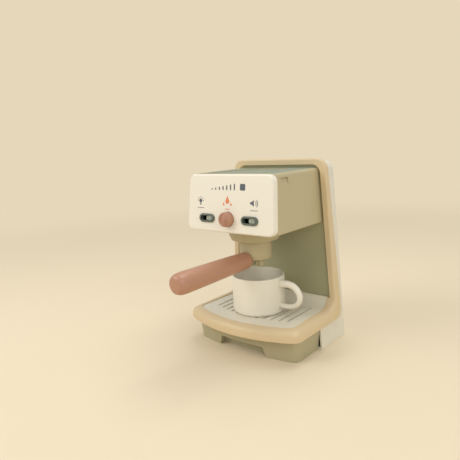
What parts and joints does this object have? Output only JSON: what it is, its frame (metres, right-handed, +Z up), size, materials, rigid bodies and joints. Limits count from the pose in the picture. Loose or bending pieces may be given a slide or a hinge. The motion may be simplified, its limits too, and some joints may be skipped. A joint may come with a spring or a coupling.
{
  "type": "toy coffee maker",
  "caption": "Play espresso machine with a tall back frame, a head with a leaning control panel, a turning filter holder, a slotted drip tray, a lidded water tank and a mug",
  "frame": {"origin": "on the surface that the toy stands on, halfway across, in the plane of the back frame's front rim", "axes": "+Z up, +X to the right as seen from the front, the control panel faces -Y"},
  "size_m": [0.1776, 0.2398, 0.245],
  "materials": {
    "tan_plastic": "satin moulded tan",
    "khaki_plastic": "satin moulded khaki",
    "white_plastic": "satin warm white",
    "terracotta_plastic": "soft terracotta",
    "smoky_green_plastic": "smoky grey-green",
    "grey_green_plastic": "grey-green",
    "black_plastic": "black",
    "circuit_board": "green solder mask",
    "zinc_steel": "zinc-plated",
    "battery_sleeve": "plain wrapped sleeve",
    "clear_tube": "milky flexible tube",
    "lead_sleeve": "black insulated lead",
    "lamp_lens": "clear epoxy lens"
  },
  "bodies": {
    "machine": {"back_frame": "tan_plastic", "rear_cover": "white_plastic", "base_box": "khaki_plastic", "head_housing": "khaki_plastic", "front_panel": "white_plastic", "water_tank": "smoky_green_plastic", "group_collar": "khaki_plastic", "button_spring": "zinc_steel", "push_switch": "black_plastic", "circuit_board": "circuit_board", "light_switch_bezel": "grey_green_plastic", "light_switch_body": "zinc_steel", "sound_switch_bezel": "grey_green_plastic", "sound_switch_body": "zinc_steel", "lamp": "lamp_lens", "pump_motor": "zinc_steel", "pump_housing": "black_plastic", "suction_tube": "clear_tube", "outlet_tube": "clear_tube", "speaker": "black_plastic", "battery_lead": "lead_sleeve", "speaker_lead": "lead_sleeve", "pump_lead": "lead_sleeve", "battery_box": "black_plastic", "battery_1": "battery_sleeve", "battery_2": "battery_sleeve", "battery_3": "battery_sleeve", "battery_contact_left": "zinc_steel", "battery_contact_right": "zinc_steel", "cover_screw_1": "zinc_steel", "cover_screw_2": "zinc_steel", "cover_screw_3": "zinc_steel", "cover_screw_4": "zinc_steel", "base_screw_1": "zinc_steel", "base_screw_2": "zinc_steel", "base_screw_3": "zinc_steel", "base_screw_4": "zinc_steel"},
    "button": {"water_button": "terracotta_plastic"},
    "light_slider": {"light_switch_slider": "white_plastic"},
    "sound_slider": {"sound_switch_slider": "white_plastic"},
    "lid": {"tank_lid": "smoky_green_plastic"},
    "holder": {"filter_holder": "khaki_plastic", "coffee_spout": "khaki_plastic", "holder_handle": "terracotta_plastic"},
    "tray": {"drip_tray": "white_plastic"},
    "cup": {"mug": "white_plastic"},
    "door": {"battery_door": "white_plastic", "door_screw": "zinc_steel"},
    "impeller": {"pump_impeller": "black_plastic"}
  },
  "joints": [
    {"name": "water_button_press", "type": "slide", "parent": "machine", "child": "button", "axis": [0, 0.9948, -0.1022], "range_m": [0, 0.003], "stiffness_N_per_m": 300, "deforming": ["button_spring"]},
    {"name": "light_switch_slide", "type": "slide", "parent": "machine", "child": "light_slider", "axis": [-1, 0, 0], "range_m": [0, 0.008]},
    {"name": "sound_switch_slide", "type": "slide", "parent": "machine", "child": "sound_slider", "axis": [-1, 0, 0], "range_m": [0, 0.008]},
    {"name": "tank_lid_hinge", "type": "hinge", "parent": "machine", "child": "lid", "pos_m": [0, -0.0092, 0.2311], "axis": [-1, 0, 0], "range_deg": [0, 80]},
    {"name": "filter_holder_turn", "type": "hinge", "parent": "machine", "child": "holder", "pos_m": [0, -0.055, 0.119], "axis": [0, 0, 1], "range_deg": [-45, 0]},
    {"name": "drip_tray_lift", "type": "slide", "parent": "machine", "child": "tray", "axis": [0, 0, 1], "range_m": [0, 0.008]},
    {"name": "mug_slide", "type": "slide", "parent": "tray", "child": "cup", "axis": [0, -1, 0], "range_m": [0, 0.01]},
    {"name": "battery_door_slide", "type": "slide", "parent": "machine", "child": "door", "axis": [0, 1, 0], "range_m": [0, 0.01]},
    {"name": "pump_impeller_spin", "type": "hinge", "parent": "machine", "child": "impeller", "pos_m": [0, -0.04, 0.182], "axis": [1, 0, 0], "continuous": true}
  ]
}
